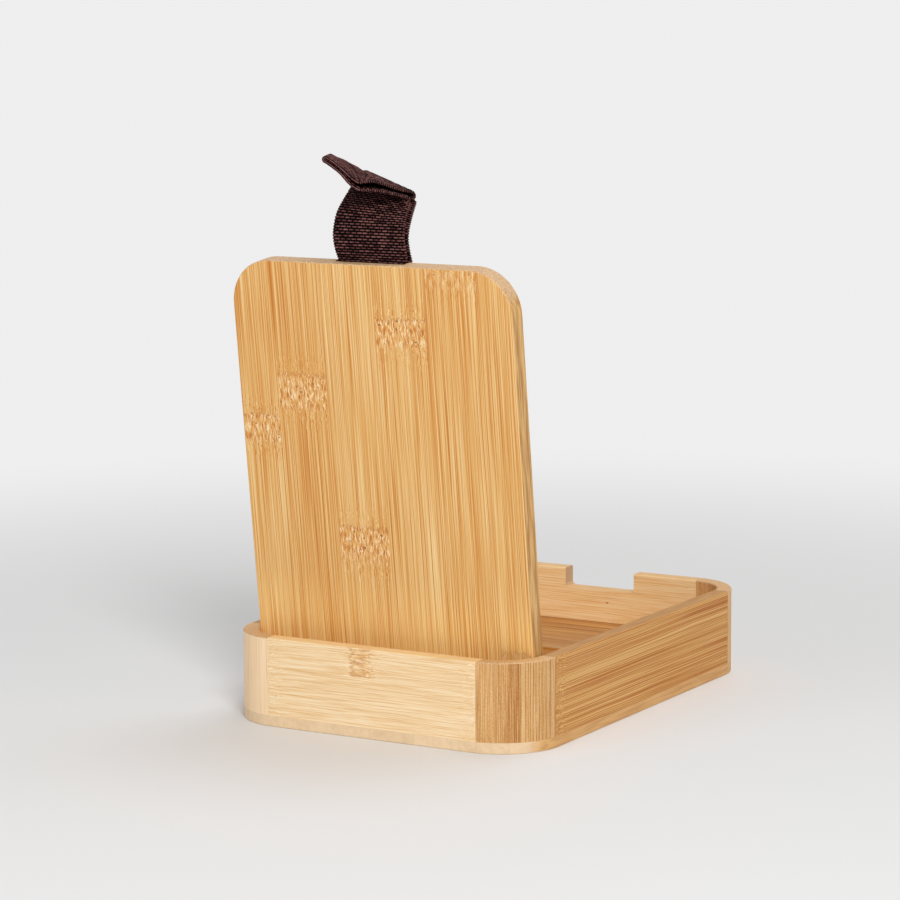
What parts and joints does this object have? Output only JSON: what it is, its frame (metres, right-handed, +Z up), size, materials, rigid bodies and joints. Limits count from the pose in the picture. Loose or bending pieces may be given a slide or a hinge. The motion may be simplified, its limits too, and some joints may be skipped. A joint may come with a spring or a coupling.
{
  "type": "vanity organizer box",
  "caption": "Shallow bamboo box with rounded corners, a cross divider, a finger notch and a lift-off lid with a webbing pull loop, shown standing in the slot at the rear.",
  "frame": {"origin": "middle of the flat underside of the box", "axes": "+Z up out of the box, -Y the front with the finger notch, +X the right side seen from the front"},
  "size_m": [0.12, 0.1762, 0.1939],
  "materials": {
    "bamboo": "satin",
    "bamboo_lid": "satin",
    "bamboo_base": "satin",
    "bamboo_dark": "satin",
    "webbing": "matte",
    "tack_steel": "satin"
  },
  "bodies": {
    "box": {"base_panel": "bamboo_base", "inner_floor_panel": "bamboo_dark", "front_wall": "bamboo", "rear_wall": "bamboo", "left_wall": "bamboo", "right_wall": "bamboo", "front_left_corner_block": "bamboo", "front_right_corner_block": "bamboo", "rear_left_corner_block": "bamboo", "rear_right_corner_block": "bamboo", "left_lid_rail": "bamboo", "right_lid_rail": "bamboo", "cross_divider": "bamboo"},
    "lid": {"lid_panel": "bamboo_lid", "pull_strap": "webbing", "strap_tacks": "tack_steel"}
  },
  "joints": [
    {"name": "lid_lift", "type": "slide", "parent": "box", "child": "lid", "axis": [0, 0.1193, 0.9929], "range_m": [0, 0.045]}
  ]
}
